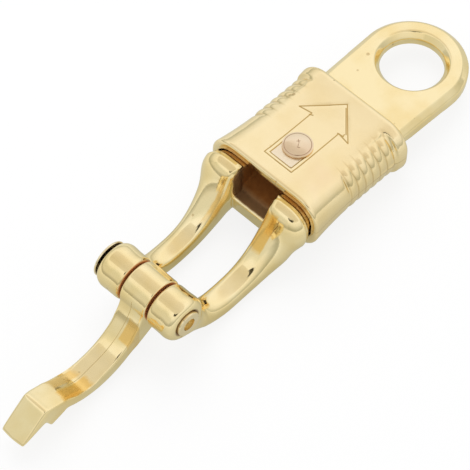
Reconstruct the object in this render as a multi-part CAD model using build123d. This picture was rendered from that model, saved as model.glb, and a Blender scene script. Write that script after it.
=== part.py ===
from build123d import *
from math import asin, atan2, cos, degrees, radians, sin, sqrt, tan
import os

# Quick release snap: a cast body with a round eye at one end and a two-armed
# fork at the other, a spring-loaded sleeve that slides on the body's tongue,
# and a lever hinged between the fork's arms whose tip latches in the sleeve.
#
# Origin: on the axis of the eye's bore, in the plane where the casting's two
# halves meet. That plane is where the eye and tongue are widest.
# +X runs along the snap from the eye to the hinge, +Z out of the face that
# carries the arrow, and Y is the hinge axis. Millimetres throughout.
# The lever is drawn open, swung away from the sleeve.

# --- tongue and eye ---
eye_bore_radius = 7.94
eye_rim_flare = 1.43
eye_land_rise = 0.1
eye_land_drop = 1.6
eye_outer_radius = 13.85
tongue_rise = 1.9
tongue_drop = 3.0
tongue_width = 25.4
tongue_side_slope = 1.75
tongue_lower_slope = 0.15

# --- hinge ---
pin_reach = 90.25
pin_drop = 3.7
pin_radius = 2.9
knuckle_radius = 5.9
knuckle_edge_round = 0.9
fork_width = 25.2
lever_knuckle_width = 8.1
knuckle_side_gap = 0.5
pin_running_clearance = 0.06
pin_head_radius = 4.9
pin_head_thickness = 0.6
pin_head_gap = 0.25
pin_head_round = 0.25
pin_roll_radius = 3.3
pin_roll_proud = 0.4
pin_roll_round = 0.3
pin_tube_radius = 1.7
pin_tube_depth = 6.0
countersink_clearance = 0.5
countersink_depth = 0.5

# --- sleeve ---
sleeve_mouth_reach = 52.2
sleeve_length = 32.6
sleeve_end_width = 34.4
sleeve_waist_width = 32.4
sleeve_height = 16.4
sleeve_waist_height = 15.0
sleeve_corner = 6.9
sleeve_axis_drop = 1.8
sleeve_wall = 1.9
sleeve_end_wall = 4.0
sleeve_travel = 8.4
sliding_clearance = 0.3
mouth_round = 0.7
far_end_round = 1.3

# --- grip ribs on the sleeve's four rounded corners ---
rib_count = 6
rib_pitch = 2.5
rib_row_setback = 20.7
rib_groove_radius = 12.0
rib_groove_bead = 0.95
rib_groove_depth = 0.5
rib_groove_angle = 34.0

# --- arrow engraved on the sleeve ---
arrow_tail_setback = 4.6
arrow_barb_setback = 20.3
arrow_tip_setback = 28.6
arrow_shaft_width = 8.7
arrow_barb_width = 15.8
engraving_width = 0.42
engraving_depth = 0.28
tail_recess_depth = 0.3
tail_recess_margin = 0.75

# --- sleeve rivet, its slot and the return spring ---
rivet_setback = 11.4
rivet_shank_radius = 1.95
rivet_head_radius = 3.75
rivet_head_edge = 0.35
rivet_head_dome = 0.6
rivet_neck_radius = 3.0
rivet_neck_height = 0.35
rivet_tail_radius = 3.1
rivet_tail_height = 0.8
rivet_tail_round = 0.4
slot_width = 4.9
slot_corner = 0.4
spring_outer_radius = 2.15
spring_wire_radius = 0.3
spring_turns = 8
spring_room = 6.0
spring_end_gap = 0.05

# --- fork root, shoulders and arms ---
rail_length = 12.0
shoulder_gap = 1.2
shoulder_length = 4.4
shoulder_overlap = 0.75
shoulder_round = 1.2
arm_gap = 11.2
web_length = 3.9
web_thickness = 4.4
pocket_length = 8.9
ramp_foot_setback = 3.3
arm_root_width = 29.4
arm_waist_width = 24.2
arm_root_drop = 1.4
rim_knee_share = 0.276
rim_knee_drop = 9.4
rim_low_share = 0.605
rim_low_drop = 6.6
belly_root_drop = 1.1
belly_low_share = 0.6
belly_low_drop = 11.3
belly_bulge = 1.5
arm_rim_round = 0.45

# --- lever ---
lever_width = 7.5
lever_draft = 2.0
lever_edge_round = 0.32
lever_bow_reach = 20.5
lever_bow_height = 4.3
lever_bow_radius = 15.3
lever_thickness = 4.3
lever_rise_angle = 17.8
lever_heel_angle = 31.0
crease_reach = 36.8
tip_reach = 44.6
tip_drop = 13.1
tip_end_thickness = 0.9
tip_root_thickness = 4.9
nub_setback = 1.9
nub_height = 2.6
nub_length = 4.6

sleeve_far_reach = sleeve_mouth_reach - sleeve_length
rivet_reach = sleeve_mouth_reach - rivet_setback
slot_front = rivet_reach + rivet_shank_radius
slot_back = rivet_reach - rivet_shank_radius - sleeve_travel - spring_room
sleeve_waist_top = sleeve_waist_height / 2 - sleeve_axis_drop
sleeve_waist_bottom = -sleeve_waist_height / 2 - sleeve_axis_drop
cavity_width = sleeve_end_width - 2 * sleeve_wall
cavity_height = sleeve_waist_height - 2 * sleeve_wall
cavity_corner = sleeve_corner - sleeve_wall
shoulder_reach = sleeve_mouth_reach + shoulder_gap
shoulder_front = shoulder_reach + shoulder_length
shoulder_width = cavity_width + 2 * shoulder_overlap
shoulder_height = cavity_height + 2 * shoulder_overlap
shoulder_corner = cavity_corner + shoulder_overlap
shoulder_top = shoulder_height / 2 - sleeve_axis_drop
shoulder_bottom = -shoulder_height / 2 - sleeve_axis_drop
rail_reach = shoulder_reach - rail_length
web_front = shoulder_reach + web_length
web_top = shoulder_bottom + web_thickness
pocket_back = sleeve_mouth_reach - pocket_length
knuckle_inner = lever_knuckle_width / 2 + knuckle_side_gap
pin_bore_radius = pin_radius + pin_running_clearance


def cross_section(reach, width, height, corner):
    """Rounded section square to the snap's length, on the sleeve's axis."""
    place = Plane(origin=(reach, 0, -sleeve_axis_drop), x_dir=(0, 1, 0), z_dir=(1, 0, 0))
    return place * RectangleRounded(width, height, corner)


def along_hinge(radius, start, end):
    """Cylinder on the hinge axis between two widths."""
    place = Plane(origin=(pin_reach, start, -pin_drop), x_dir=(1, 0, 0), z_dir=(0, 1, 0))
    return extrude(place * Circle(radius), end - start)


def tongue_plan(growth, level):
    """Outline of the eye and tongue, seen from above."""
    eye = Circle(eye_outer_radius + growth)
    root = Pos(rail_reach + rail_length / 4, 0) * Rectangle(1, tongue_width + 2 * growth)
    return Pos(0, 0, level) * make_hull(eye.edges() + root.edges())


def tongue_blank(growth=0.0):
    """Tongue with its round eye, widest where the halves meet, grown all round."""
    middle = tongue_plan(growth, 0)
    top = tongue_plan(growth - tongue_side_slope, tongue_rise + growth)
    bottom = tongue_plan(growth - tongue_lower_slope, -tongue_drop - growth)
    return loft([bottom, middle], ruled=True) + loft([middle, top], ruled=True)


def eye_bore():
    """Cutter for the eye: a straight land that flares to both faces."""
    rim = eye_bore_radius + eye_rim_flare
    outline = Polyline(
        (0, tongue_rise), (rim, tongue_rise), (eye_bore_radius, eye_land_rise),
        (eye_bore_radius, -eye_land_drop), (rim, -tongue_drop), (0, -tongue_drop),
        (0, tongue_rise),
    )
    return revolve(Plane.XZ * make_face(outline), Axis.Z)


def arm_lines():
    """Upper and lower outlines of a fork arm, from shoulder to knuckle."""
    root = Vector(shoulder_front - 1, shoulder_top - arm_root_drop)
    fork = pin_reach - shoulder_front
    knee = Vector(shoulder_front + rim_knee_share * fork, -pin_drop - rim_knee_drop / 2)
    low = Vector(shoulder_front + rim_low_share * fork, -pin_drop - rim_low_drop)
    end = Vector(pin_reach - 0.92 * knuckle_radius, -pin_drop - 0.3 * knuckle_radius)
    upper = Spline(root, knee, low, end, tangents=[(0.55, -1), (1, -0.62), (1, 0), (0.5, 1)])
    heel = Vector(shoulder_front - 1, shoulder_bottom - belly_root_drop)
    belly = Vector(shoulder_front + belly_low_share * fork, -pin_drop - belly_low_drop)
    toe = Vector(pin_reach, -pin_drop - 0.97 * knuckle_radius)
    lower = Spline(heel, belly, toe, tangents=[(1, -0.62), (1, 0), (1, 0.4)])
    return upper, lower


def arm_section(width, height):
    """Section of an arm: flat inside, rounded over the top, full below."""
    top = height / 2
    crown = Vector(0.42 * width, top)
    flank = Vector(width, -0.15 * height)
    outer_foot = Vector(0.85 * width, -0.42 * height - belly_bulge)
    inner_foot = Vector(0, -top)
    rim = min(arm_rim_round, 0.1 * height)
    edges = [
        Line(inner_foot, (0, top - rim)),
        Line((0, top - rim), (rim, top)),
        Line((rim, top), crown),
        Spline(crown, flank, tangents=[(1, 0), (0, -1)]),
        Spline(flank, outer_foot, inner_foot, tangents=[(0, -1), (-1, -0.45), (-1, 0.45)]),
    ]
    return make_face(edges)


def arm():
    """One fork arm, lofted from its shoulder to its knuckle."""
    upper, lower = arm_lines()
    inner = arm_gap / 2
    sections = []
    stations = 9
    for station in range(stations):
        share = station / (stations - 1)
        top, low = upper @ share, lower @ share
        root_share = max(0, 1 - share / 0.55) ** 2
        end_share = max(0, (share - 0.6) / 0.4) ** 2
        outer = arm_waist_width / 2
        outer += root_share * (arm_root_width - arm_waist_width) / 2
        outer += end_share * (fork_width - 2 * knuckle_edge_round - arm_waist_width) / 2
        middle = (top + low) * 0.5
        upward = (top - low).normalized()
        place = Plane(
            origin=(middle.X, inner, middle.Y), x_dir=(0, 1, 0), z_dir=(upward.Y, 0, -upward.X)
        )
        sections.append(place * arm_section(outer - inner, (top - low).length))
    return loft(sections)


def shoulders():
    """Collar behind the sleeve's mouth, on both sides of the fork's gap."""
    collar = extrude(
        cross_section(shoulder_reach, shoulder_width, shoulder_height, shoulder_corner),
        shoulder_length,
    )
    front = collar.edges().group_by(Axis.X)[-1]
    collar = fillet(front, min(shoulder_round, 0.3 * shoulder_length))
    back = collar.edges().group_by(Axis.X)[0]
    return fillet(back, min(shoulder_round, 0.3 * shoulder_length) / 3)


def rails():
    """Block that fills the sleeve's cavity behind the shoulders."""
    return extrude(
        cross_section(
            rail_reach,
            cavity_width - 2 * sliding_clearance,
            cavity_height - 2 * sliding_clearance,
            cavity_corner - sliding_clearance,
        ),
        shoulder_reach + shoulder_length / 2 - rail_reach,
    )


def pocket():
    """Space above the ramp that takes the lever's tip, and the gap beyond."""
    clear = shoulder_top + shoulder_height
    beyond = pin_reach + knuckle_radius
    outline = Polyline(
        (pocket_back, clear), (pocket_back, tongue_rise),
        (web_front - ramp_foot_setback, web_top), (web_front, web_top),
        (web_front, -clear - shoulder_height), (beyond, -clear - shoulder_height),
        (beyond, clear), (pocket_back, clear),
    )
    return extrude(Plane.XZ * make_face(outline), arm_gap / 2, both=True)


def body():
    blank = tongue_blank() + rails() + shoulders() - pocket()
    side = arm()
    blank = blank + side + mirror(side, Plane.XZ)
    knuckle = along_hinge(knuckle_radius, knuckle_inner, fork_width / 2)
    knuckle = fillet(knuckle.edges().filter_by(GeomType.CIRCLE), knuckle_edge_round)
    blank = blank + knuckle + mirror(knuckle, Plane.XZ)
    slot = RectangleRounded(slot_front - slot_back, slot_width, slot_corner)
    slot = Pos((slot_front + slot_back) / 2, 0) * slot
    blank = blank - eye_bore() - extrude(slot, sleeve_height, both=True)
    blank = blank - along_hinge(pin_bore_radius, -fork_width, fork_width)
    countersink = pin_roll_radius + countersink_clearance
    return blank - along_hinge(countersink, fork_width / 2 - countersink_depth, fork_width)


def rib_groove(reach):
    """Bead that cuts one groove across the sleeve's upper +Y corner."""
    corner_y = sleeve_waist_width / 2 - sleeve_corner
    corner_z = sleeve_waist_height / 2 - sleeve_corner
    outward = Vector(cos(radians(rib_groove_angle)), sin(radians(rib_groove_angle)))
    centre = Vector(corner_y, corner_z)
    centre += outward * (sleeve_corner - rib_groove_depth - rib_groove_radius)
    span = 100
    bead = Torus(rib_groove_radius + rib_groove_bead, rib_groove_bead, major_angle=span, align=None)
    place = Plane(
        origin=(reach, centre.X, centre.Y - sleeve_axis_drop),
        x_dir=(0, cos(radians(rib_groove_angle - span / 2)), sin(radians(rib_groove_angle - span / 2))),
        z_dir=(1, 0, 0),
    )
    return place * bead


def engraved(points):
    """Shallow channel along a closed outline in the sleeve's top."""
    outline = Polyline(*points, close=True)
    channel = offset(make_face(outline), engraving_width / 2, kind=Kind.INTERSECTION)
    channel = channel - offset(make_face(outline), -engraving_width / 2, kind=Kind.INTERSECTION)
    floor = sleeve_waist_top - engraving_depth
    return extrude(Pos(0, 0, floor) * channel, sleeve_height)


def arrow():
    tail = sleeve_mouth_reach - arrow_tail_setback
    barb = sleeve_mouth_reach - arrow_barb_setback
    tip = sleeve_mouth_reach - arrow_tip_setback
    shaft_half, barb_half = arrow_shaft_width / 2, arrow_barb_width / 2
    return engraved([
        (tip, 0), (barb, barb_half), (barb, shaft_half), (tail, shaft_half),
        (tail, -shaft_half), (barb, -shaft_half), (barb, -barb_half),
    ])


def tail_recess():
    """Sunk panel round the rivet, deepest at the arrow's tail."""
    front = sleeve_mouth_reach - arrow_tail_setback - tail_recess_margin
    length = front - rivet_reach + rivet_head_radius
    width = arrow_shaft_width - 2 * tail_recess_margin
    panel = RectangleRounded(length, width, tail_recess_margin)
    slope = degrees(atan2(tail_recess_depth, length))
    place = Pos(front, 0, sleeve_waist_top - tail_recess_depth) * Rot(0, slope, 0)
    return place * (Pos(-length / 2, 0) * extrude(panel, sleeve_height))


def sleeve():
    waist_reach = (sleeve_far_reach + sleeve_mouth_reach) / 2
    skin = loft([
        cross_section(sleeve_far_reach, sleeve_end_width, sleeve_height, sleeve_corner),
        cross_section(waist_reach, sleeve_waist_width, sleeve_waist_height, sleeve_corner),
        cross_section(sleeve_mouth_reach, sleeve_end_width, sleeve_height, sleeve_corner),
    ])
    skin = fillet(skin.edges().group_by(Axis.X)[0], far_end_round)
    skin = fillet(skin.edges().group_by(Axis.X)[-1], min(mouth_round, 0.45 * sleeve_wall))
    first = sleeve_mouth_reach - rib_row_setback - rib_count * rib_pitch / 2
    grooves = [rib_groove(first + index * rib_pitch) for index in range(rib_count + 1)]
    for groove in grooves:
        across = mirror(groove, Plane.XZ)
        below = Plane.XY.offset(-sleeve_axis_drop)
        skin = skin - groove - across - mirror(groove, below) - mirror(across, below)
    cavity = extrude(
        cross_section(
            sleeve_far_reach + sleeve_end_wall, cavity_width, cavity_height, cavity_corner
        ),
        sleeve_length,
    )
    skin = skin - cavity - tongue_blank(sliding_clearance) - arrow() - tail_recess()
    return skin - Pos(rivet_reach, 0) * Cylinder(rivet_shank_radius, 4 * sleeve_height)


def sleeve_rivet():
    underside = sleeve_waist_top - tail_recess_depth / 2
    edge_low = underside + rivet_neck_height
    edge_high = edge_low + rivet_head_edge
    crown = edge_high + rivet_head_dome
    tail_low = sleeve_waist_bottom - rivet_tail_height
    dome_radius = (rivet_head_radius ** 2 + rivet_head_dome ** 2) / (2 * rivet_head_dome)
    half_way = rivet_head_radius / 2
    half_way_height = crown - dome_radius + sqrt(dome_radius ** 2 - half_way ** 2)
    profile = [
        Line((0, tail_low), (rivet_tail_radius, tail_low)),
        Line((rivet_tail_radius, tail_low), (rivet_tail_radius, sleeve_waist_bottom)),
        Line((rivet_tail_radius, sleeve_waist_bottom), (rivet_shank_radius, sleeve_waist_bottom)),
        Line((rivet_shank_radius, sleeve_waist_bottom), (rivet_shank_radius, underside)),
        Line((rivet_shank_radius, underside), (rivet_neck_radius, underside)),
        Line((rivet_neck_radius, underside), (rivet_head_radius, edge_low)),
        Line((rivet_head_radius, edge_low), (rivet_head_radius, edge_high)),
        ThreePointArc((rivet_head_radius, edge_high), (half_way, half_way_height), (0, crown)),
        Line((0, crown), (0, tail_low)),
    ]
    rivet = revolve(Plane.XZ * make_face(profile), Axis.Z)
    tail_rim = rivet.edges().filter_by(GeomType.CIRCLE).group_by(Axis.Z)[0]
    return Pos(rivet_reach, 0) * fillet(tail_rim, min(rivet_tail_round, 0.45 * rivet_tail_height))


def return_spring():
    room = rivet_reach - rivet_shank_radius - slot_back
    length = room - 2 * spring_wire_radius - 2 * spring_end_gap
    path = Helix(length / spring_turns, length, spring_outer_radius - spring_wire_radius)
    wire = Plane(origin=path @ 0, z_dir=path % 0) * Circle(spring_wire_radius)
    coil = sweep(wire, path)
    start = slot_back + spring_wire_radius + spring_end_gap
    return Pos(start, 0, (tongue_rise - tongue_drop) / 2) * Rot(0, 90, 0) * coil


def lever_outline():
    """Side outline of the open lever, about the hinge axis."""
    bow = Vector(lever_bow_reach, lever_bow_height)
    outer_radius = lever_bow_radius + lever_thickness
    heading = degrees(atan2(bow.Y, bow.X))

    def meeting(radius):
        # angle on the knuckle at which a circle round the bow's centre cuts it
        share = bow.length ** 2 + knuckle_radius ** 2 - radius ** 2
        return 90 - degrees(asin(share / (2 * bow.length * knuckle_radius)))

    def on_knuckle(angle):
        return Vector(knuckle_radius * cos(radians(angle)), knuckle_radius * sin(radians(angle)))

    def on_bow(radius, angle):
        return bow + Vector(radius * sin(radians(angle)), -radius * cos(radians(angle)))

    bow_start = on_knuckle(heading + meeting(lever_bow_radius))
    bow_end = on_bow(lever_bow_radius, lever_rise_angle)
    rise = (crease_reach - bow_end.X) * tan(radians(lever_rise_angle))
    crease = Vector(crease_reach, bow_end.Y + rise)
    tip_top = Vector(tip_reach, -tip_drop)
    tip_low = tip_top - Vector(0.2, tip_end_thickness)
    step_top = crease - Vector(-0.2, tip_root_thickness)
    nub_tip = Vector(crease_reach - nub_setback, step_top.Y - nub_height)
    nub_side = nub_tip + Vector(0.6, 0.2)
    back_angle = degrees(asin((nub_tip.X - nub_length - bow.X) / outer_radius))
    belly_end = on_bow(outer_radius, back_angle)
    belly_start = on_bow(outer_radius, -lever_heel_angle)
    distance = belly_start.length
    toward = degrees(atan2(-belly_start.Y, -belly_start.X))
    lean = degrees(asin(knuckle_radius / distance))
    run = sqrt(distance ** 2 - knuckle_radius ** 2)
    turn = radians(toward + lean)
    heel = belly_start + Vector(run * cos(turn), run * sin(turn))
    centre = Vector(0, 0)
    return [
        ThreePointArc(bow_start, on_bow(lever_bow_radius, -25), bow_end),
        Line(bow_end, crease),
        Line(crease, tip_top),
        Line(tip_top, tip_low),
        Line(tip_low, step_top),
        Line(step_top, nub_side),
        Line(nub_side, nub_tip),
        Line(nub_tip, belly_end),
        ThreePointArc(belly_end, on_bow(outer_radius, 0), belly_start),
        Line(belly_start, heel),
        Line(heel, centre),
        Line(centre, bow_start),
    ]


def lever():
    place = Plane(origin=(pin_reach, 0, -pin_drop), x_dir=(1, 0, 0), z_dir=(0, -1, 0))
    blade = extrude(place * make_face(lever_outline()), lever_width / 2, taper=lever_draft)
    blade = blade + mirror(blade, Plane.XZ)
    rims = blade.edges().filter_by(lambda edge: abs(edge.center().Y) > lever_width / 2 - 1e-3)
    blade = fillet(rims, min(lever_edge_round, 0.35 * tip_end_thickness))
    knuckle = along_hinge(knuckle_radius, -lever_knuckle_width / 2, lever_knuckle_width / 2)
    knuckle = fillet(knuckle.edges().filter_by(GeomType.CIRCLE), knuckle_edge_round / 2)
    return blade + knuckle - along_hinge(pin_bore_radius, -fork_width, fork_width)


def hinge_rivet():
    head_inside = -fork_width / 2 - pin_head_gap
    roll_seat = fork_width / 2 - countersink_depth
    roll_outside = fork_width / 2 + pin_roll_proud
    shank = along_hinge(pin_radius, head_inside, roll_seat)
    head = along_hinge(pin_head_radius, head_inside - pin_head_thickness, head_inside)
    head = fillet(head.edges().filter_by(GeomType.CIRCLE), min(pin_head_round, 0.45 * pin_head_thickness))
    roll = along_hinge(pin_roll_radius, roll_seat, roll_outside)
    roll = fillet(roll.edges().filter_by(GeomType.CIRCLE).group_by(Axis.Y)[-1], pin_roll_round)
    tube = along_hinge(pin_tube_radius, roll_outside - pin_tube_depth, fork_width)
    return shank + head + roll - tube


pieces = {
    "body": body,
    "sleeve": sleeve,
    "sleeve_rivet": sleeve_rivet,
    "return_spring": return_spring,
    "lever": lever,
    "hinge_rivet": hinge_rivet,
}

os.makedirs("parts", exist_ok=True)
for name, make in pieces.items():
    export_step(make(), os.path.join("parts", name + ".step"))
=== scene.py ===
import math

import bmesh
import bpy
import numpy as np
from mathutils import Matrix, Vector


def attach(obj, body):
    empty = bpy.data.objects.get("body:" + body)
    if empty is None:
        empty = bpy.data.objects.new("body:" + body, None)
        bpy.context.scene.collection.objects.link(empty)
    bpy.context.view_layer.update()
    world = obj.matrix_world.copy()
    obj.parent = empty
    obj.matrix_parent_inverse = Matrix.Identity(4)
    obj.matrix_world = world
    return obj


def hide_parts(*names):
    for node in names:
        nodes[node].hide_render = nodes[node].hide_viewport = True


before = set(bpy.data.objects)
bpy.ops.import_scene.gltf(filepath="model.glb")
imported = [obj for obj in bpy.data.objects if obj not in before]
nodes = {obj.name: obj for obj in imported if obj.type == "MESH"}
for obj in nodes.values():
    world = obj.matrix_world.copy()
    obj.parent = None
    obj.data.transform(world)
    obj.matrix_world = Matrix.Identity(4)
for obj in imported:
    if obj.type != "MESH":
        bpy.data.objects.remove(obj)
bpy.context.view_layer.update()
scene = bpy.context.scene

# camera: a long lens above the hinge end, rolled so the snap lies across the view
cameraValues = {
    "lens": 234.4,
    "place": (0.3716, 0.2806, 0.5816),
    "back": (0.4281, 0.3874, 0.8165),
    "up": (-0.5780, -0.5772, 0.5769),
}


def placeCamera(values):
    cameraData = bpy.data.cameras.new("sceneCamera")
    cameraData.lens = values["lens"]
    cameraData.sensor_width = 36.0
    cameraData.clip_end = 20.0
    camera = bpy.data.objects.new("sceneCamera", cameraData)
    scene.collection.objects.link(camera)
    back = Vector(values["back"]).normalized()
    right = Vector(values["up"]).cross(back).normalized()
    up = back.cross(right)
    turn = Matrix((right, up, back)).transposed().to_4x4()
    camera.matrix_world = Matrix.Translation(values["place"]) @ turn
    scene.camera = camera


placeCamera(cameraValues)
print("camera placed")


def newMaterial(name):
    material = bpy.data.materials.new(name)
    material.use_nodes = True
    tree = material.node_tree
    return material, tree, tree.nodes["Principled BSDF"]


def addNode(tree, kind, **values):
    node = tree.nodes.new(kind)
    for key, value in values.items():
        setattr(node, key, value)
    return node


def feed(tree, socket, value):
    if isinstance(value, bpy.types.NodeSocket):
        tree.links.new(value, socket)
    else:
        socket.default_value = value


def math2(tree, operation, first, second=0.0, clamp=False):
    node = addNode(tree, "ShaderNodeMath", operation=operation, use_clamp=clamp)
    feed(tree, node.inputs[0], first)
    feed(tree, node.inputs[1], second)
    return node.outputs[0]


def vector2(tree, operation, first, second=(0, 0, 0)):
    node = addNode(tree, "ShaderNodeVectorMath", operation=operation)
    feed(tree, node.inputs[0], first)
    if operation == "SCALE":
        feed(tree, node.inputs["Scale"], second)
    elif operation not in ("ABSOLUTE", "LENGTH"):
        feed(tree, node.inputs[1], second)
    return node.outputs["Value" if operation in ("LENGTH", "DOT_PRODUCT") else "Vector"]


def objectPoint(tree, place=(0, 0, 0)):
    coordinates = addNode(tree, "ShaderNodeTexCoord")
    mapping = addNode(tree, "ShaderNodeMapping")
    mapping.inputs["Location"].default_value = place
    tree.links.new(coordinates.outputs["Object"], mapping.inputs["Vector"])
    return mapping.outputs["Vector"]


def noise(tree, vector, scale, detail=2.0, roughness=0.5):
    node = addNode(tree, "ShaderNodeTexNoise")
    node.inputs["Scale"].default_value = scale
    node.inputs["Detail"].default_value = detail
    node.inputs["Roughness"].default_value = roughness
    tree.links.new(vector, node.inputs["Vector"])
    return node.outputs["Fac"]


def ramp(tree, value, stops):
    node = addNode(tree, "ShaderNodeValToRGB")
    while len(node.color_ramp.elements) < len(stops):
        node.color_ramp.elements.new(0.5)
    for element, (place, color) in zip(node.color_ramp.elements, stops):
        element.position = place
        element.color = (*color, 1)
    tree.links.new(value, node.inputs["Fac"])
    return node.outputs["Color"]


def mapRange(tree, value, low, high, toLow, toHigh):
    node = addNode(tree, "ShaderNodeMapRange")
    for name, number in zip(("From Min", "From Max", "To Min", "To Max"), (low, high, toLow, toHigh)):
        node.inputs[name].default_value = number
    tree.links.new(value, node.inputs["Value"])
    return node.outputs["Result"]


def mixColor(tree, share, first, second):
    node = addNode(tree, "ShaderNodeMix", data_type="RGBA")
    sockets = [socket for socket in node.inputs if socket.enabled]
    for socket, value in zip(sockets, (share, first, second)):
        feed(tree, socket, (*value, 1) if isinstance(value, tuple) else value)
    return [socket for socket in node.outputs if socket.enabled][0]


def bump(tree, height, strength, distance, below=None):
    node = addNode(tree, "ShaderNodeBump")
    node.inputs["Strength"].default_value = strength
    node.inputs["Distance"].default_value = distance
    tree.links.new(height, node.inputs["Height"])
    if below is not None:
        tree.links.new(below, node.inputs["Normal"])
    return node.outputs["Normal"]


def boxMask(tree, point, patch, wobble):
    shifted = vector2(tree, "SUBTRACT", point, patch["center"])
    scaled = vector2(tree, "MULTIPLY", shifted, tuple(1 / side for side in patch["half"]))
    parts = addNode(tree, "ShaderNodeSeparateXYZ")
    tree.links.new(vector2(tree, "ABSOLUTE", scaled), parts.inputs[0])
    if patch["round"]:     # round about the hinge, boxed along it
        across = vector2(tree, "LENGTH", vector2(tree, "MULTIPLY", scaled, (1, 0, 1)))
    else:
        across = math2(tree, "MAXIMUM", parts.outputs[0], parts.outputs[2])
    far = math2(tree, "MAXIMUM", across, parts.outputs[1])
    ragged = math2(tree, "MULTIPLY", math2(tree, "SUBTRACT", wobble, 0.5), patch["ragged"])
    far = math2(tree, "ADD", far, ragged)
    return mapRange(tree, far, 1.0, 1.0 - patch["soft"], 0.0, patch["strength"])


def lineMask(tree, point, line, width):
    start, end = Vector(line[0]), Vector(line[1])
    along = end - start
    flat = vector2(tree, "MULTIPLY", vector2(tree, "SUBTRACT", point, (*start, 0)), (1, 1, 0))
    share = vector2(tree, "DOT_PRODUCT", flat, (*(along / along.length_squared), 0))
    share = math2(tree, "ADD", share, 0.0, clamp=True)
    nearest = vector2(tree, "SCALE", (*along, 0), share)
    gap = vector2(tree, "LENGTH", vector2(tree, "SUBTRACT", flat, nearest))
    return mapRange(tree, gap, width, width * 0.4, 0.0, 1.0)


castGold = {
    "light": (0.99, 0.85, 0.53),
    "deep": (0.94, 0.76, 0.40),
    "cloudScale": 100.0,   # the slow drift between the light and the deep gold
    "fineScale": 900.0,
    "roughLow": 0.06,
    "roughHigh": 0.16,
    "waveBump": 0.16,      # the gentle unevenness of a polished casting
    "waveScale": 170.0,
    "grainBump": 0.22,     # fine polishing marks
    "grainScale": 1500.0,
    "pitBump": 0.35,
    "pitScale": 260.0,
    "pitSize": 0.17,
    "pitPatchScale": 60.0,   # pits come in patches of about this size
    # painted shade deep in the pits
    "pitShadeColor": (0.55, 0.38, 0.17),
    # patches of stain, painted shade and painted reflection
    "stainsAndPaintedLight": [],
    "lines": [],           # fine engraved or cast lines on a flat, as pairs of points
    "lineWidth": 0.00014,
    "lineColor": (0.50, 0.33, 0.12),
    "lineFloor": 0.0,      # lines and rings show above this height
    "rings": [],           # circles on a flat: middle, radius, width
    "seamHeight": None,    # where a casting's halves meet on its sides, drawn as a dark line of painted shade
    "valleys": None,       # painted shade between the grip ribs
}


def valleyMask(tree, place, ribs):
    sides = addNode(tree, "ShaderNodeSeparateXYZ")
    tree.links.new(place, sides.inputs[0])
    along, across = sides.outputs[0], math2(tree, "ABSOLUTE", sides.outputs[1])
    turn = math2(tree, "SUBTRACT", along, ribs["first"])
    turn = math2(tree, "MULTIPLY", turn, math.pi / ribs["pitch"])
    crest = math2(tree, "ABSOLUTE", math2(tree, "COSINE", turn))
    mask = mapRange(tree, crest, 0.45, 0.05, 0.0, ribs["strength"])
    for low, fade, socket in ((ribs["start"], ribs["endFade"], along), (ribs["end"], -ribs["endFade"], along),
                              (ribs["side"], ribs["sideFade"], across)):
        mask = math2(tree, "MULTIPLY", mask, mapRange(tree, socket, low, low + fade, 0.0, 1.0))
    return mask


def markMask(tree, place, values):
    masks = [lineMask(tree, place, line, values["lineWidth"]) for line in values["lines"]]
    for middle, radius, width in values["rings"]:
        gap = vector2(tree, "MULTIPLY", vector2(tree, "SUBTRACT", place, (*middle, 0)), (1, 1, 0))
        gap = math2(tree, "ABSOLUTE", math2(tree, "SUBTRACT", vector2(tree, "LENGTH", gap), radius))
        masks.append(mapRange(tree, gap, width, width * 0.3, 0.0, 1.0))
    marks = None
    for mask in masks:
        marks = mask if marks is None else math2(tree, "MAXIMUM", marks, mask)
    parts = addNode(tree, "ShaderNodeSeparateXYZ")
    tree.links.new(place, parts.inputs[0])
    height = parts.outputs[2]
    if marks is not None:
        marks = math2(tree, "MULTIPLY", marks, math2(tree, "GREATER_THAN", height, values["lineFloor"]))
    # the seam is drawn as a dark line of painted shade
    if values["seamHeight"] is not None:
        offset = math2(tree, "ABSOLUTE", math2(tree, "SUBTRACT", height, values["seamHeight"]))
        seamShade = mapRange(tree, offset, 0.00012, 0.00004, 0.0, 0.6)
        marks = seamShade if marks is None else math2(tree, "MAXIMUM", marks, seamShade)
    return marks


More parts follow.
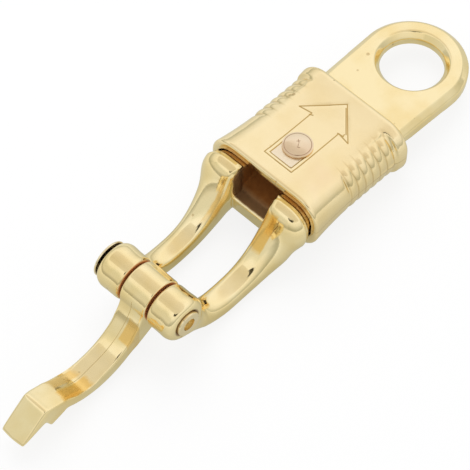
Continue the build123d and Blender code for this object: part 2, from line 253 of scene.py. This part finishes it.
def castMetal(name, values, shift=(0, 0, 0)):
    material, tree, shader = newMaterial(name)
    place = objectPoint(tree)
    point = objectPoint(tree, shift)
    cloud = noise(tree, point, values["cloudScale"], 4.0)
    fine = noise(tree, point, values["fineScale"], 3.0, 0.6)
    color = ramp(tree, cloud, [(0.35, values["deep"]), (0.62, values["light"])])
    rough = mapRange(tree, fine, 0.3, 0.7, values["roughLow"], values["roughHigh"])
    wave = noise(tree, point, values["waveScale"], 1.0)
    grain = noise(tree, point, values["grainScale"], 3.0, 0.6)
    normal = bump(tree, wave, values["waveBump"], 0.0002)
    normal = bump(tree, grain, values["grainBump"], 0.00003, normal)
    pits = addNode(tree, "ShaderNodeTexVoronoi")
    pits.inputs["Scale"].default_value = values["pitScale"]
    tree.links.new(point, pits.inputs["Vector"])
    patches = noise(tree, point, values["pitPatchScale"], 2.0)
    sparse = mapRange(tree, patches, 0.46, 0.66, 0.0, values["pitSize"])
    depth = math2(tree, "SUBTRACT", sparse, pits.outputs["Distance"], clamp=True)
    # painted shade, darker where the pits are deeper
    color = mixColor(tree, mapRange(tree, depth, 0.01, 0.06, 0.0, 0.6), color, values["pitShadeColor"])
    normal = bump(tree, math2(tree, "MULTIPLY", depth, -20.0), values["pitBump"], 0.00006, normal)
    metal = None
    # patches of stain, painted shade and painted reflection, each mixed over the gold
    for patch in values["stainsAndPaintedLight"]:
        mask = boxMask(tree, place, patch, noise(tree, point, patch["grain"], 4.0, 0.65))
        color = mixColor(tree, mask, color, patch["color"])
        rough = math2(tree, "ADD", rough, math2(tree, "MULTIPLY", mask, patch["dull"]))
        # in patches of painted shade the metal is lowered, so the painted brown reads dull
        if patch["matteShare"]:
            metal = math2(tree, "SUBTRACT", 1.0 if metal is None else metal,
                          math2(tree, "MULTIPLY", mask, patch["matteShare"]), clamp=True)
    # painted shade in the valleys between the grip ribs
    if values["valleys"]:
        mask = valleyMask(tree, place, values["valleys"])
        color = mixColor(tree, mask, color, values["lineColor"])
    # fine lines, rings and the seam in lineColor with a small dent; on the sleeve they are painted shade in
    # the cuts
    marks = markMask(tree, place, values)
    if marks is not None:
        color = mixColor(tree, marks, color, values["lineColor"])
        normal = bump(tree, math2(tree, "MULTIPLY", marks, -1.0), 0.5, 0.0001, normal)
    feed(tree, shader.inputs["Base Color"], color)
    feed(tree, shader.inputs["Roughness"], rough)
    feed(tree, shader.inputs["Normal"], normal)
    feed(tree, shader.inputs["Metallic"], 1.0 if metal is None else metal)
    return material


# a box patch mixed over the gold, used for stains, painted shade and painted reflections
def stainAndPaintedLight(center, half, color, strength=0.9, soft=0.25, ragged=0.3, grain=350.0, dull=0.25, matteShare=0.0,
          round=False):
    return {"center": center, "half": half, "color": color, "strength": strength, "soft": soft,
            "ragged": ragged, "grain": grain, "dull": dull, "matteShare": matteShare, "round": round}


def hingeShade(middle, half, radius, color, strength, soft, ragged=0.0, dull=0.25, matteShare=0.0):
    # a round patch of painted shade on the hinge's axis, middle and half along Y
    x, z = hingeAxis
    return stainAndPaintedLight((x, middle, z), (radius, half, radius), color, strength, soft, ragged,
                 dull=dull, matteShare=matteShare, round=True)


hingeAxis = (0.09025, -0.0037)
# the brown of painted shade in the hinge's gaps
gapShadeBrown = (0.62, 0.26, 0.08)
pocket = {"center": (0.0483, 0, -0.0030), "half": (0.0087, 0.0059, 0.0085)}

# the body: painted brown shade deep in the latch pocket, in the gap round the mouth and in the hinge's gaps,
# and painted orange reflections on the arms
bodyFinish = dict(castGold, stainsAndPaintedLight=[
    # painted dark shade deep in the latch pocket
    stainAndPaintedLight(pocket["center"], pocket["half"], (0.28, 0.155, 0.070), 0.97, 0.05, 0.06, 420.0, 0.5),
    # ragged lighter brown strokes across the pocket's painted shade
    stainAndPaintedLight(pocket["center"], pocket["half"], (0.46, 0.27, 0.14), 0.55, 0.9, 1.6, 520.0, 0.3),
    # painted brown shade in the gap round the sleeve's mouth
    stainAndPaintedLight((0.0511, 0, -0.0018), (0.0029, 0.0170, 0.0075), (0.40, 0.17, 0.045), 0.9, 0.45, 0.15),
    # painted shade between the knuckles, near black at the hinge's -Y end and round the pin's end
    hingeShade(0, 0.0050, 0.0057, gapShadeBrown, 0.95, 0.04, dull=0.2, matteShare=0.4),
    hingeShade(-0.0129, 0.0012, 0.0070, (0.08, 0.05, 0.03), 0.95, 0.2, 0.1),
    hingeShade(0.0124, 0.0009, 0.0040, (0.25, 0.14, 0.06), 0.95, 0.1),
    # painted orange reflections of the nearby parts on the arms
    stainAndPaintedLight((0.0618, 0.0080, -0.0010), (0.0044, 0.0021, 0.0050), (0.90, 0.58, 0.16),
          0.9, 0.15, 0.25, 260.0, 0.12),
    stainAndPaintedLight((0.0640, -0.0064, -0.0020), (0.0060, 0.0011, 0.0060), (0.88, 0.58, 0.18),
          0.8, 0.4, 0.5, 260.0, 0.15),
])
# the arrow on the sleeve's face, engraved in fine lines, which the finish draws dark as painted shade in the
# cuts
arrow = {"tip": 0.0236, "barb": 0.0319, "tail": 0.0476, "shaftHalf": 0.00435, "headHalf": 0.0079}
# painted shade between the grip ribs: along X, and the least |Y| that it reaches
ribValleyShade = {"first": 0.02525, "pitch": 0.0025, "start": 0.0238, "end": 0.0392, "side": 0.0100,
              "endFade": 0.0003, "sideFade": 0.003, "strength": 0.5}


def arrowLines(values):
    tip, barb, tail = values["tip"], values["barb"], values["tail"]
    shaft, head = values["shaftHalf"], values["headHalf"]
    right = [(tip, 0), (barb, head), (barb - 0.0006, shaft), (tail, shaft)]
    left = [(x, -y) for x, y in right]
    outline = list(zip(right, right[1:])) + list(zip(left, left[1:])) + [((tail, shaft), (tail, -shaft))]
    inner = [((0.0247, 0.0006), (0.0303, 0.0058)), ((0.0314, 0.0041), (0.0312, 0.0057)),
             ((0.0312, 0.0057), (0.0306, 0.0055)), ((0.0320, -0.0045), (0.0316, -0.0037)),
             ((0.0405, 0.0034), (0.0467, 0.0034)), ((0.0405, -0.0034), (0.0467, -0.0034)),
             ((0.0467, 0.0034), (0.0467, -0.0034))]
    return outline + inner


# the sleeve: its arrow and seam drawn as painted shade, painted shade between the ribs and in and round its
# mouth, a pinkish mottle near the mouth and a pale grey-pink flat round the rivet
sleeveFinish = dict(castGold, light=(0.97, 0.82, 0.52), deep=(0.93, 0.76, 0.44),
    lines=arrowLines(arrow), lineWidth=0.00019, lineColor=(0.55, 0.36, 0.12), lineFloor=0.0050,
    seamHeight=-0.0018, valleys=ribValleyShade,
    # painted brown shade inside and round the mouth
    stainsAndPaintedLight=[stainAndPaintedLight((0.0440, 0, -0.0018), (0.0078, 0.0116, 0.0064), (0.36, 0.17, 0.06), 0.9, 0.1, 0.1),
            stainAndPaintedLight((0.0440, 0, -0.0018), (0.0078, 0.0147, 0.0040), (0.36, 0.17, 0.06), 0.9, 0.1, 0.1),
            stainAndPaintedLight((0.0448, 0.0098, 0.0052), (0.0062, 0.0052, 0.0016), (0.94, 0.72, 0.50),
                  0.4, 0.9, 1.2, 160.0, 0.1),
            stainAndPaintedLight((0.0436, 0, 0.0056), (0.0032, 0.0034, 0.0006), (0.92, 0.80, 0.64),
                  0.9, 0.05, 0.02, dull=0.25)])
# the lever: a fine line down its middle, painted orange reflections on its face and painted shade in the gaps
# beside its knuckle
leverFinish = dict(castGold, waveBump=0.24,
    lines=[((0.0960, 0.0), (0.1165, 0.0))], lineFloor=-0.0158, lineWidth=0.00009, lineColor=(0.72, 0.52, 0.22),
    # painted orange reflections either side of the middle line, before the tip block
    stainsAndPaintedLight=[stainAndPaintedLight((0.1165, 0.0020, -0.0130), (0.0050, 0.0017, 0.0060), (0.94, 0.62, 0.18),
                  0.85, 0.2, 0.5, 300.0, 0.15),
            stainAndPaintedLight((0.1165, -0.0020, -0.0130), (0.0046, 0.0015, 0.0060), (0.94, 0.64, 0.22),
                  0.8, 0.3, 0.5, 300.0, 0.15),
            # painted shade in the gaps beside the lever's knuckle
            hingeShade(0.00405, 0.0004, 0.0057, gapShadeBrown, 0.9, 0.1, matteShare=0.3),
            hingeShade(-0.00405, 0.0004, 0.0057, gapShadeBrown, 0.9, 0.1, matteShare=0.3),
            # a painted orange reflection near the knuckle
            stainAndPaintedLight((0.0992, 0.0022, -0.0090), (0.0021, 0.0017, 0.0060), (0.90, 0.58, 0.16),
                  0.8, 0.2, 0.3, 300.0, 0.15)])
# the rivet: pinker gold, a dark ring of painted shade round its head's rim and four short dark scratches
copperFinish = dict(castGold, light=(0.90, 0.75, 0.56), deep=(0.80, 0.62, 0.44), waveBump=0.35,
                    waveScale=420.0, pitBump=1.0, pitScale=700.0, pitSize=0.16,
                    rings=[((0.0408, 0.0), 0.0033, 0.00012)], lineColor=(0.45, 0.26, 0.16),
                    lines=[((0.0399, -0.0007), (0.0405, 0.0001)), ((0.0405, -0.0006), (0.0399, -0.0001)),
                           ((0.0408, 0.0002), (0.0414, 0.0006)), ((0.0414, 0.0012), (0.0417, 0.0006))],
                    lineWidth=0.00011)
steelFinish = dict(castGold, light=(0.62, 0.61, 0.58), deep=(0.5, 0.49, 0.46))
# the pin: painted shade inside its hollow end
pinFinish = dict(castGold, light=(0.96, 0.84, 0.60), deep=(0.88, 0.74, 0.48), waveBump=0.2,
                 stainsAndPaintedLight=[hingeShade(0.0095, 0.0045, 0.00175, (0.80, 0.62, 0.28), 0.9, 0.1, 0.1, dull=0.35)])
bodyGold = castMetal("bodyGold", bodyFinish)
sleeveGold = castMetal("sleeveGold", sleeveFinish, (0.3, 0.1, 0.2))
leverGold = castMetal("leverGold", leverFinish, (0.1, 0.2, 0.3))
copperPink = castMetal("copperPink", copperFinish, (0.5, 0.1, 0.0))
pinGold = castMetal("pinGold", pinFinish, (0.2, 0.5, 0.1))
springSteel = castMetal("springSteel", steelFinish, (0.2, 0.0, 0.4))
print("materials ready")

# polished castings: each CAD shape again, welded, with soft edges and true normals
# each softer patch: X range; least |Y|, most |Y| and its ramp; rounds of easing; the swell
castings = {
    "body": {"finish": bodyGold, "rides": "frame", "slot": "cast_brass",
             "voxel": 0.00031, "smoothing": 6,
             "softer": [((0.0536, 0.0850), (0.0050, 1, 0.0008), 250, 0.00068),
                        ((0.0820, 0.0975), (0.0078, 1, 0.0030), 150, 0.00038)]},
    "lever": {"finish": leverGold, "rides": "swing_lever", "slot": "lever_brass",
              "voxel": 0.0002, "smoothing": 12,
              "softer": [((0.0980, 0.1215), (-1, 1, 0.001), 40, 0.00006),
                         ((0.1255, 0.1370), (-1, 1, 0.001), 45, 0.00008)]},
    "sleeve": {"finish": sleeveGold, "rides": "sliding_sleeve", "slot": "cast_brass",
               "voxel": 0.00029, "smoothing": 5, "softer": []},
    "sleeve_rivet": {"finish": copperPink, "rides": "sliding_sleeve", "slot": "copper_rivet", "voxel": None},
    "hinge_rivet": {"finish": pinGold, "rides": "frame", "slot": "hinge_pin", "voxel": None},
}
sleeveFace = {"flat": 0.0057, "back": 0.022, "front": 0.0495, "half": 0.0088}


def smoothStep(low, high, value):
    share = np.clip((np.asarray(value) - low) / (high - low), 0, 1)
    return share * share * (3 - 2 * share)


def readPoints(mesh):
    points = np.empty(3 * len(mesh.vertices))
    mesh.vertices.foreach_get("co", points)
    return points.reshape(-1, 3)


def readNormals(mesh):
    normals = np.empty(3 * len(mesh.vertices))
    mesh.vertices.foreach_get("normal", normals)
    return normals.reshape(-1, 3)


def writePoints(mesh, points):
    mesh.vertices.foreach_set("co", points.ravel())
    mesh.update()


def easePatch(mesh, patch):
    # neighbours pull each vertex in, then the swell pushes the skin back out along its normals
    (low, high), (least, most, ramp), rounds, swell = patch
    points = readPoints(mesh)
    edges = np.empty(2 * len(mesh.edges), dtype=np.int64)
    mesh.edges.foreach_get("vertices", edges)
    edges = edges.reshape(-1, 2)
    x, side = points[:, 0], np.abs(points[:, 1])
    weight = smoothStep(low, low + 0.0015, x) * smoothStep(high, high - 0.0015, x)
    weight *= smoothStep(least, least + ramp, side) * smoothStep(most, most - ramp, side)
    near = edges[(weight[edges] > 0).any(axis=1)]
    used, near = np.unique(near, return_inverse=True)
    near = near.reshape(-1, 2)
    part, share, size = points[used], 0.5 * weight[used][:, None], len(used)
    count = np.bincount(near.ravel(), minlength=size)[:, None]
    for step in range(rounds):
        total = np.stack([np.bincount(near[:, 0], part[near[:, 1], k], size) +
                          np.bincount(near[:, 1], part[near[:, 0], k], size) for k in range(3)], axis=1)
        part += share * (total / count - part)
    points[used] = part
    writePoints(mesh, points)
    normals = readNormals(mesh)
    under = 1 + 0.3 * np.minimum(normals[:, 2], 0)     # less on the side that it rests on
    points += normals * (swell * weight * under)[:, None]
    writePoints(mesh, points)


def levelFace(work, values):
    # the engraved lines are drawn by the finish as painted shade, so the skin starts level under them
    for vertex in work.verts:
        x, y, z = vertex.co
        onFace = values["back"] < x < values["front"] and abs(y) < values["half"]
        if onFace and 0.0 < values["flat"] - z < 0.0005:
            vertex.co.z = values["flat"]


# the rolled end's hollow shows its floor just inside the mouth
tubeFloor = {"axis": hingeAxis, "reach": 0.00185, "from": (0.0060, 0.0080), "to": 0.0118}


def raiseTubeFloor(work, values):
    for vertex in work.verts:
        x, y, z = vertex.co
        radius = math.hypot(x - values["axis"][0], z - values["axis"][1])
        if radius < values["reach"] and values["from"][0] < y < values["from"][1]:
            vertex.co.y = values["to"]


sharpTurn = math.radians(30)     # edges that turn further than this stay sharp


def weldedMesh(name):
    mesh = nodes[name].data.copy()
    mesh.name = name + "Polished"
    work = bmesh.new()
    work.from_mesh(mesh)
    bmesh.ops.remove_doubles(work, verts=work.verts, dist=1e-6)
    if name == "sleeve":
        levelFace(work, sleeveFace)
    if name == "hinge_rivet":
        raiseTubeFloor(work, tubeFloor)
    for face in work.faces:
        face.smooth = True
    for edge in work.edges:
        edge.smooth = len(edge.link_faces) == 2 and edge.calc_face_angle(0.0) < sharpTurn
    work.to_mesh(mesh)
    work.free()
    mesh.materials.clear()
    return mesh


def plainMesh(piece):
    graph = bpy.context.evaluated_depsgraph_get()
    mesh = bpy.data.meshes.new_from_object(piece.evaluated_get(graph))
    piece.modifiers.clear()
    piece.data = mesh
    return mesh


def polishedCopy(name, values):
    mesh = weldedMesh(name)
    piece = bpy.data.objects.new(name + "Polished", mesh)
    scene.collection.objects.link(piece)
    if values["voxel"]:
        remesh = piece.modifiers.new("castSkin", "REMESH")
        remesh.mode = "VOXEL"
        remesh.voxel_size = values["voxel"]
        remesh.use_smooth_shade = True
        relax = piece.modifiers.new("softEdges", "SMOOTH")
        relax.factor = 0.5
        relax.iterations = values["smoothing"]
        mesh = plainMesh(piece)
        for patch in values["softer"]:
            easePatch(mesh, patch)
        mesh.materials.clear()
    mesh.materials.append(values["finish"])
    if not values["voxel"]:
        weighted = piece.modifiers.new("softNormals", "WEIGHTED_NORMAL")
        weighted.keep_sharp = True
        weighted.weight = 100
    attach(piece, values["rides"])
    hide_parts(name)
    return piece


pieces = {name: polishedCopy(name, values) for name, values in castings.items()}

# the lever's face: a channel between its rims, deepest at the bow and gone at the tip block
leverChannel = {
    "start": 0.1080, "deepest": 0.1150, "blockFoot": 0.1216, "dip": 0.0010,
    "rim": 0.00060, "halfWidth": 0.0038, "rimShare": 0.45,
}


def sinkChannel(mesh, values):
    points = readPoints(mesh)
    x, side, up = points[:, 0], np.abs(points[:, 1]), readNormals(mesh)[:, 2]
    along = smoothStep(values["start"], values["deepest"], x)
    along = along * smoothStep(values["blockFoot"], values["deepest"], x)
    inner = smoothStep(values["halfWidth"], values["halfWidth"] - values["rim"], side)
    share = values["rimShare"] + (1 - values["rimShare"]) * inner
    points[:, 2] -= values["dip"] * along * share * smoothStep(0.1, 0.5, up)
    writePoints(mesh, points)


sinkChannel(pieces["lever"].data, leverChannel)

# grip ribs: soft crescents on the sleeve's corners, where its grooves are cut
gripRibs = {
    "corner": 0.0093, "middles": (-0.0012, -0.0024), "radius": 0.0069, "turn": 34.0, "reach": 39.0,
    "start": 0.0240, "end": 0.0390, "first": ribValleyShade["first"], "pitch": ribValleyShade["pitch"],
    "rise": 0.00040, "lowerShare": 0.7, "sink": 0.00017,
    "edgeEasing": ((0.0225, 0.0405), (0.0092, 1, 0.0008), 1, 0.0),
}


def shapeRibs(mesh, values):
    points = readPoints(mesh)
    upper, lower = values["middles"]
    lowerRise = values["lowerShare"] * values["rise"]
    for middle, way, height in ((upper, 1, values["rise"]), (lower, -1, lowerRise)):
        x, y, z = points.T
        out, up = np.abs(y) - values["corner"], way * (z - middle)
        radius = np.hypot(out, up)
        turn = np.degrees(np.arctan2(up, out)) - values["turn"]
        blend = smoothStep(values["start"] - 0.0002, values["start"] + 0.0003, x)
        blend = blend * smoothStep(values["end"] + 0.0002, values["end"] - 0.0003, x)
        blend = blend * smoothStep(values["reach"], values["reach"] - 6, np.abs(turn))
        blend = blend * (radius > values["radius"] - 0.0011)
        length = smoothStep(values["reach"] - 2, values["reach"] - 19, turn)
        length = length * smoothStep(2 - values["reach"], -6, turn)
        crest = np.abs(np.cos(math.pi * (x - values["first"]) / values["pitch"]))
        wave = height * crest - values["sink"]
        scale = 1 + blend * ((values["radius"] + length * wave) / np.maximum(radius, 1e-6) - 1)
        points[:, 1] = np.where(blend > 0, np.sign(y) * (values["corner"] + out * scale), y)
        points[:, 2] = np.where(blend > 0, middle + way * up * scale, z)
    writePoints(mesh, points)


shapeRibs(pieces["sleeve"].data, gripRibs)
easePatch(pieces["sleeve"].data, gripRibs["edgeEasing"])
print("castings polished")

steelSlots = nodes["return_spring"].data.materials
for slotIndex in range(len(steelSlots)):
    steelSlots[slotIndex] = springSteel
if not steelSlots:
    steelSlots.append(springSteel)

# studio: a pale floor under the tilted part, a soft key light and reflection cards
studioValues = {
    "floorHeight": -0.00756,    # where the floor meets the Z axis
    "floorTilt": 6.41,          # degrees, the part rests on its sleeve and arms
    "floorColor": 0.80,
    "floorGlow": 0.84,
    "floorSize": 2.5,
    "keyPower": 6.0,
    "keySize": 0.9,
    "keyPlace": (-0.25, -0.35, 0.85),
    "keyTarget": (0.06, 0, 0),
    "ambient": 0.85,
}
tiltSlope = math.tan(math.radians(studioValues["floorTilt"]))


def seenRay(tree):
    path = addNode(tree, "ShaderNodeLightPath")
    first = math2(tree, "MAXIMUM", path.outputs["Is Camera Ray"], path.outputs["Is Glossy Ray"])
    return math2(tree, "MAXIMUM", first, path.outputs["Is Transmission Ray"])


def worldLight(values):
    world = bpy.data.worlds.new("studio")
    scene.world = world
    world.use_nodes = True
    tree = world.node_tree
    background = tree.nodes["Background"]
    background.inputs["Color"].default_value = (1, 1, 1, 1)
    feed(tree, background.inputs["Strength"], mapRange(tree, seenRay(tree), 0, 1, values["ambient"], 1.0))


def stageMesh(name, points, faces, material):
    mesh = bpy.data.meshes.new(name)
    mesh.from_pydata(points, [], faces)
    mesh.materials.append(material)
    card = bpy.data.objects.new(name, mesh)
    scene.collection.objects.link(card)
    return card


def glowMaterial(name):
    material, tree, shader = newMaterial(name)
    tree.nodes.remove(shader)
    glow = addNode(tree, "ShaderNodeEmission")
    tree.links.new(glow.outputs[0], tree.nodes["Material Output"].inputs["Surface"])
    return material, tree, glow


def cardMaterial(name, axis, low, high, stops):
    material, tree, glow = glowMaterial(name)
    parts = addNode(tree, "ShaderNodeSeparateXYZ")
    tree.links.new(objectPoint(tree), parts.inputs[0])
    if axis is None:     # outward from the snap, which lies along X
        gap = vector2(tree, "SUBTRACT", objectPoint(tree), (0.055, 0, 0))
        place = vector2(tree, "LENGTH", vector2(tree, "MULTIPLY", gap, (0.35, 1, 0)))
    else:
        place = parts.outputs[axis]
    share = mapRange(tree, place, low, high, 0, 1)
    feed(tree, glow.inputs["Color"], ramp(tree, share, stops))
    return material


def reflectionCard(name, points, faces, material):
    card = stageMesh(name, points, faces, material)
    card.visible_camera = False
    card.visible_diffuse = False
    card.visible_shadow = False


def floorCorners(size, above=0.0):
    return [(x, y, studioValues["floorHeight"] + above - tiltSlope * x)
            for x, y in ((-size, -size), (size, -size), (size, size), (-size, size))]


def studioFloor(values):
    material, tree, shader = newMaterial("paleFloor")
    tone = values["floorColor"]
    shader.inputs["Base Color"].default_value = (tone, tone, tone, 1)
    shader.inputs["Roughness"].default_value = 0.9
    shader.inputs["Specular IOR Level"].default_value = 0.0
    glow = addNode(tree, "ShaderNodeEmission")
    mix = addNode(tree, "ShaderNodeMixShader")
    feed(tree, mix.inputs[0], mapRange(tree, seenRay(tree), 0, 1, 0.0, values["floorGlow"]))
    tree.links.new(shader.outputs[0], mix.inputs[1])
    tree.links.new(glow.outputs[0], mix.inputs[2])
    tree.links.new(mix.outputs[0], tree.nodes["Material Output"].inputs["Surface"])
    stageMesh("floor", floorCorners(values["floorSize"]), [(0, 1, 2, 3)], material)


def keyLight(values):
    lamp = bpy.data.lights.new("keySoftbox", "AREA")
    lamp.size = values["keySize"]
    lamp.energy = values["keyPower"]
    key = bpy.data.objects.new("keySoftbox", lamp)
    scene.collection.objects.link(key)
    key.location = values["keyPlace"]
    aim = Vector(values["keyTarget"]) - key.location
    key.rotation_euler = aim.to_track_quat("-Z", "Y").to_euler()
    key.visible_glossy = False
    key.visible_camera = False


worldLight(studioValues)
studioFloor(studioValues)
keyLight(studioValues)

# above: a warm card over the tongue side, its front edge in line with the camera
ceilingStops = [(0.05, (1.0, 0.985, 0.95)), (0.22, (0.98, 0.95, 0.90)), (0.34, (0.84, 0.79, 0.71)),
                (0.70, (0.72, 0.68, 0.60)), (0.91, (0.78, 0.75, 0.68))]
ceiling = {"back": -1.6, "front": 0.42, "half": 1.6, "height": 0.6}
ceilingCorners = [(x, y * ceiling["half"], ceiling["height"])
                  for x, y in ((ceiling["back"], -1), (ceiling["front"], -1),
                               (ceiling["front"], 1), (ceiling["back"], 1))]
reflectionCard("ceilingCard", ceilingCorners, [(0, 1, 2, 3)],
               cardMaterial("ceilingCard", 0, -0.5, 0.5, ceilingStops))

# below: the floor as the gold sees it, dimmer than the eye does
shadeStops = [(0.05, (0.42, 0.41, 0.32)), (0.20, (0.68, 0.67, 0.58)),
              (0.45, (0.80, 0.79, 0.71)), (1, (0.88, 0.87, 0.80))]
reflectionCard("floorShade", floorCorners(0.68, 0.0002), [(0, 1, 2, 3)],
               cardMaterial("floorShade", None, 0, 0.14, shadeStops))


def ringCard(name, reach, startTurn, endTurn, low, high, stops):
    points, faces = [], []
    steps = 48
    for step in range(steps + 1):
        turn = math.radians(startTurn + (endTurn - startTurn) * step / steps)
        points += [(reach * math.cos(turn), reach * math.sin(turn), height) for height in (low, high)]
        if step:
            faces.append((2 * step - 2, 2 * step, 2 * step + 1, 2 * step - 1))
    reflectionCard(name, points, faces, cardMaterial(name, 2, low, high, stops))


# round the horizon: a grey-green wall, paler upwards, and a dimmer one before the hinge
ringCard("lowWall", 0.70, 0, 360, -0.2, 1.0,
         [(0.17, (0.46, 0.46, 0.39)), (0.27, (0.62, 0.62, 0.55)), (0.40, (0.84, 0.83, 0.78)),
          (0.60, (0.96, 0.95, 0.92)), (0.95, (1, 1, 1))])
ringCard("frontWall", 0.66, -52, 14, -0.2, 0.52,
         [(0.24, (0.46, 0.45, 0.38)), (0.42, (0.74, 0.73, 0.66)),
          (0.75, (0.74, 0.74, 0.67)), (0.98, (0.90, 0.90, 0.85))])

# the camera's own dark outline, which polished metal always shows
cameraShade = {"behind": 0.03, "radius": 0.18, "corners": 24, "color": (0.05, 0.045, 0.03)}


def shadeCamera(values):
    back = Vector(cameraValues["back"]).normalized()
    middle = Vector(cameraValues["place"]) + back * values["behind"]
    side = back.orthogonal().normalized()
    other = back.cross(side)
    turns = [math.tau * step / values["corners"] for step in range(values["corners"])]
    outline = [tuple(middle + (side * math.cos(turn) + other * math.sin(turn)) * values["radius"])
               for turn in turns]
    material, tree, glow = glowMaterial("cameraShade")
    glow.inputs["Color"].default_value = (*values["color"], 1)
    reflectionCard("cameraShade", outline, [tuple(range(values["corners"]))], material)


shadeCamera(cameraShade)
scene.view_settings.view_transform = "Standard"
print("studio ready")
